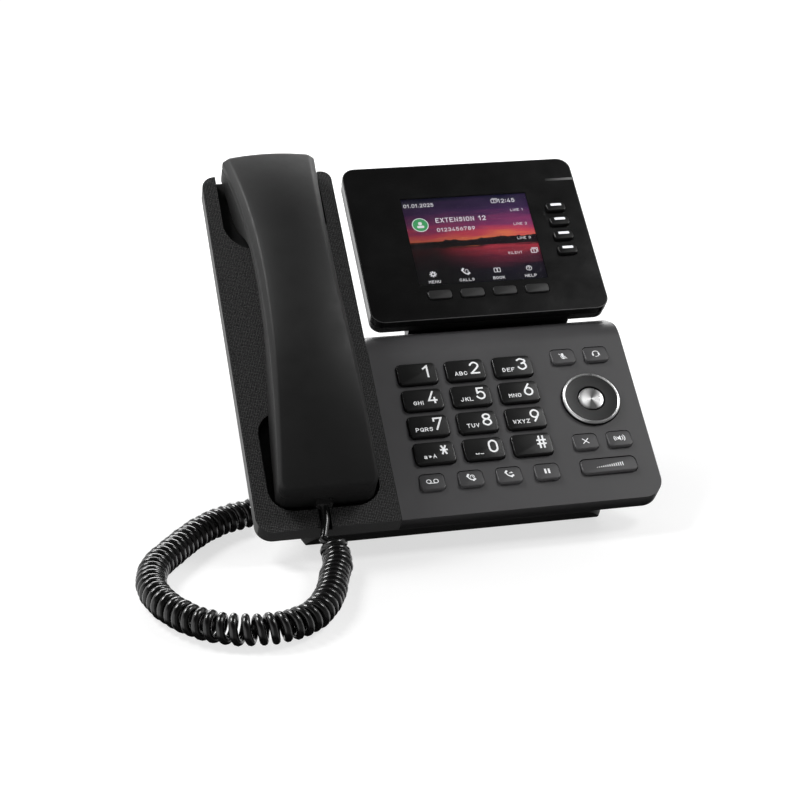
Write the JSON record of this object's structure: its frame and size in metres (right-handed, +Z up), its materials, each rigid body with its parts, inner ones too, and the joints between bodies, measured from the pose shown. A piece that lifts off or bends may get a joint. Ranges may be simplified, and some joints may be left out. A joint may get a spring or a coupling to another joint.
{
  "type": "desk ip phone",
  "caption": "Desk telephone with a sloping body, tilting colour display, keypad, navigation ring and a corded handset in its cradle.",
  "frame": {"origin": "on the desk, under the middle of the body's width and depth, measured without the handset cord", "axes": "+X to the user's right, +Y away from the user, +Z up"},
  "size_m": [0.255, 0.2499, 0.1575],
  "materials": {
    "cradle_black": "fine woven-look texture",
    "panel_grey": "fine matte spark-eroded texture",
    "housing_black": "matte",
    "rubber_black": "matte",
    "mat_silicone": "translucent matte",
    "board_green": "solder mask",
    "driver_black": "paper and steel, painted",
    "jack_plastic": "satin",
    "steel": "bright",
    "key_black": "satin gloss",
    "key_grey": "fine matte",
    "ring_black": "piano black with a bright rim",
    "ok_silver": "radially brushed",
    "display_black": "satin gloss",
    "lens_glass": "polished",
    "screen": "lit colour display",
    "handset_black": "satin",
    "cord_black": "satin",
    "plug_black": "clear smoke plastic"
  },
  "bodies": {
    "base": {"cradle_cover": "cradle_black", "keypad_cover": "panel_grey", "lower_housing": "housing_black", "stand_foot": "housing_black", "rubber_feet": "rubber_black", "main_board": "board_green", "keypad_board": "board_green", "dome_mat": "mat_silicone", "loudspeaker": "driver_black", "rear_jacks": "jack_plastic", "side_jacks": "jack_plastic", "housing_screws": "steel", "hinge_pin": "steel", "cord_coil": "cord_black", "cord_lead_base": "cord_black", "base_plug": "plug_black"},
    "display": {"display_bezel": "display_black", "display_lens": "lens_glass", "lcd_panel": "screen", "display_board": "board_green", "display_rear_shell": "housing_black"},
    "handset": {"handset_outer_shell": "handset_black", "handset_inner_shell": "handset_black", "handset_capsules": "driver_black", "handset_plug": "plug_black", "cord_lead_handset": "cord_black"},
    "hook": {"hook_switch": "jack_plastic"},
    "key_1": {"key_1": "key_black"},
    "key_2": {"key_2": "key_black"},
    "key_3": {"key_3": "key_black"},
    "key_4": {"key_4": "key_black"},
    "key_5": {"key_5": "key_black"},
    "key_6": {"key_6": "key_black"},
    "key_7": {"key_7": "key_black"},
    "key_8": {"key_8": "key_black"},
    "key_9": {"key_9": "key_black"},
    "key_star": {"key_star": "key_black"},
    "key_0": {"key_0": "key_black"},
    "key_hash": {"key_hash": "key_black"},
    "voicemail_key": {"voicemail_key": "key_grey"},
    "call_list_key": {"call_list_key": "key_grey"},
    "redial_key": {"redial_key": "key_grey"},
    "hold_key": {"hold_key": "key_grey"},
    "mute_key": {"mute_key": "key_grey"},
    "headset_key": {"headset_key": "key_grey"},
    "cancel_key": {"cancel_key": "key_grey"},
    "speaker_key": {"speaker_key": "key_grey"},
    "soft_key_1": {"soft_key_1": "key_black"},
    "soft_key_2": {"soft_key_2": "key_black"},
    "soft_key_3": {"soft_key_3": "key_black"},
    "soft_key_4": {"soft_key_4": "key_black"},
    "line_key_1": {"line_key_1": "key_black"},
    "line_key_2": {"line_key_2": "key_black"},
    "line_key_3": {"line_key_3": "key_black"},
    "line_key_4": {"line_key_4": "key_black"},
    "volume_rocker": {"volume_rocker": "key_grey"},
    "navigation_carrier": {"navigation_carrier": "jack_plastic"},
    "navigation_ring": {"navigation_ring": "ring_black", "navigation_rim": "steel"},
    "ok_button": {"ok_button": "ok_silver"}
  },
  "joints": [
    {"name": "display_tilt", "type": "hinge", "parent": "base", "child": "display", "pos_m": [0.037, -0.00011, 0.05757], "axis": [1, 0, 0], "range_deg": [0, 30]},
    {"name": "handset_lift", "type": "slide", "parent": "base", "child": "handset", "axis": [0, -0.6157, 0.788], "range_m": [0, 0.08]},
    {"name": "hook_rise", "type": "slide", "parent": "base", "child": "hook", "axis": [0, -0.6157, 0.788], "range_m": [0, 0.0028]},
    {"name": "key_1_press", "type": "slide", "parent": "base", "child": "key_1", "axis": [0, 0.6157, -0.788], "range_m": [0, 0.0012], "stiffness_N_per_m": 1000, "springref_m": -0.0003},
    {"name": "key_2_press", "type": "slide", "parent": "base", "child": "key_2", "axis": [0, 0.6157, -0.788], "range_m": [0, 0.0012], "stiffness_N_per_m": 1000, "springref_m": -0.0003},
    {"name": "key_3_press", "type": "slide", "parent": "base", "child": "key_3", "axis": [0, 0.6157, -0.788], "range_m": [0, 0.0012], "stiffness_N_per_m": 1000, "springref_m": -0.0003},
    {"name": "key_4_press", "type": "slide", "parent": "base", "child": "key_4", "axis": [0, 0.6157, -0.788], "range_m": [0, 0.0012], "stiffness_N_per_m": 1000, "springref_m": -0.0003},
    {"name": "key_5_press", "type": "slide", "parent": "base", "child": "key_5", "axis": [0, 0.6157, -0.788], "range_m": [0, 0.0012], "stiffness_N_per_m": 1000, "springref_m": -0.0003},
    {"name": "key_6_press", "type": "slide", "parent": "base", "child": "key_6", "axis": [0, 0.6157, -0.788], "range_m": [0, 0.0012], "stiffness_N_per_m": 1000, "springref_m": -0.0003},
    {"name": "key_7_press", "type": "slide", "parent": "base", "child": "key_7", "axis": [0, 0.6157, -0.788], "range_m": [0, 0.0012], "stiffness_N_per_m": 1000, "springref_m": -0.0003},
    {"name": "key_8_press", "type": "slide", "parent": "base", "child": "key_8", "axis": [0, 0.6157, -0.788], "range_m": [0, 0.0012], "stiffness_N_per_m": 1000, "springref_m": -0.0003},
    {"name": "key_9_press", "type": "slide", "parent": "base", "child": "key_9", "axis": [0, 0.6157, -0.788], "range_m": [0, 0.0012], "stiffness_N_per_m": 1000, "springref_m": -0.0003},
    {"name": "key_star_press", "type": "slide", "parent": "base", "child": "key_star", "axis": [0, 0.6157, -0.788], "range_m": [0, 0.0012], "stiffness_N_per_m": 1000, "springref_m": -0.0003},
    {"name": "key_0_press", "type": "slide", "parent": "base", "child": "key_0", "axis": [0, 0.6157, -0.788], "range_m": [0, 0.0012], "stiffness_N_per_m": 1000, "springref_m": -0.0003},
    {"name": "key_hash_press", "type": "slide", "parent": "base", "child": "key_hash", "axis": [0, 0.6157, -0.788], "range_m": [0, 0.0012], "stiffness_N_per_m": 1000, "springref_m": -0.0003},
    {"name": "voicemail_key_press", "type": "slide", "parent": "base", "child": "voicemail_key", "axis": [0, 0.6157, -0.788], "range_m": [0, 0.0012], "stiffness_N_per_m": 1000, "springref_m": -0.0003},
    {"name": "call_list_key_press", "type": "slide", "parent": "base", "child": "call_list_key", "axis": [0, 0.6157, -0.788], "range_m": [0, 0.0012], "stiffness_N_per_m": 1000, "springref_m": -0.0003},
    {"name": "redial_key_press", "type": "slide", "parent": "base", "child": "redial_key", "axis": [0, 0.6157, -0.788], "range_m": [0, 0.0012], "stiffness_N_per_m": 1000, "springref_m": -0.0003},
    {"name": "hold_key_press", "type": "slide", "parent": "base", "child": "hold_key", "axis": [0, 0.6157, -0.788], "range_m": [0, 0.0012], "stiffness_N_per_m": 1000, "springref_m": -0.0003},
    {"name": "mute_key_press", "type": "slide", "parent": "base", "child": "mute_key", "axis": [0, 0.6157, -0.788], "range_m": [0, 0.0012], "stiffness_N_per_m": 1000, "springref_m": -0.0003},
    {"name": "headset_key_press", "type": "slide", "parent": "base", "child": "headset_key", "axis": [0, 0.6157, -0.788], "range_m": [0, 0.0012], "stiffness_N_per_m": 1000, "springref_m": -0.0003},
    {"name": "cancel_key_press", "type": "slide", "parent": "base", "child": "cancel_key", "axis": [0, 0.6157, -0.788], "range_m": [0, 0.0012], "stiffness_N_per_m": 1000, "springref_m": -0.0003},
    {"name": "speaker_key_press", "type": "slide", "parent": "base", "child": "speaker_key", "axis": [0, 0.6157, -0.788], "range_m": [0, 0.0012], "stiffness_N_per_m": 1000, "springref_m": -0.0003},
    {"name": "ok_button_press", "type": "slide", "parent": "base", "child": "ok_button", "axis": [0, 0.6157, -0.788], "range_m": [0, 0.001], "stiffness_N_per_m": 1000, "springref_m": -0.0003},
    {"name": "soft_key_1_press", "type": "slide", "parent": "display", "child": "soft_key_1", "axis": [0, 0.6157, -0.788], "range_m": [0, 0.0008], "stiffness_N_per_m": 1000, "springref_m": -0.0003},
    {"name": "soft_key_2_press", "type": "slide", "parent": "display", "child": "soft_key_2", "axis": [0, 0.6157, -0.788], "range_m": [0, 0.0008], "stiffness_N_per_m": 1000, "springref_m": -0.0003},
    {"name": "soft_key_3_press", "type": "slide", "parent": "display", "child": "soft_key_3", "axis": [0, 0.6157, -0.788], "range_m": [0, 0.0008], "stiffness_N_per_m": 1000, "springref_m": -0.0003},
    {"name": "soft_key_4_press", "type": "slide", "parent": "display", "child": "soft_key_4", "axis": [0, 0.6157, -0.788], "range_m": [0, 0.0008], "stiffness_N_per_m": 1000, "springref_m": -0.0003},
    {"name": "line_key_1_press", "type": "slide", "parent": "display", "child": "line_key_1", "axis": [0, 0.6157, -0.788], "range_m": [0, 0.0008], "stiffness_N_per_m": 1000, "springref_m": -0.0003},
    {"name": "line_key_2_press", "type": "slide", "parent": "display", "child": "line_key_2", "axis": [0, 0.6157, -0.788], "range_m": [0, 0.0008], "stiffness_N_per_m": 1000, "springref_m": -0.0003},
    {"name": "line_key_3_press", "type": "slide", "parent": "display", "child": "line_key_3", "axis": [0, 0.6157, -0.788], "range_m": [0, 0.0008], "stiffness_N_per_m": 1000, "springref_m": -0.0003},
    {"name": "line_key_4_press", "type": "slide", "parent": "display", "child": "line_key_4", "axis": [0, 0.6157, -0.788], "range_m": [0, 0.0008], "stiffness_N_per_m": 1000, "springref_m": -0.0003},
    {"name": "volume_rock", "type": "hinge", "parent": "base", "child": "volume_rocker", "pos_m": [0.0744, -0.06764, 0.02576], "axis": [0, 0.788, 0.6157], "range_deg": [-2, 2], "stiffness_Nm_per_rad": 0.5},
    {"name": "navigation_tip_up_down", "type": "hinge", "parent": "base", "child": "navigation_carrier", "pos_m": [0.0745, -0.03778, 0.04845], "axis": [1, 0, 0], "range_deg": [-1.6, 1.6], "stiffness_Nm_per_rad": 0.6},
    {"name": "navigation_tip_left_right", "type": "hinge", "parent": "navigation_carrier", "child": "navigation_ring", "pos_m": [0.0745, -0.03839, 0.04924], "axis": [0, 0.788, 0.6157], "range_deg": [-1.6, 1.6], "stiffness_Nm_per_rad": 0.6}
  ],
  "couplings": [
    {"joint": "hook_rise", "follows": "handset_lift", "ratio": 0.035}
  ]
}
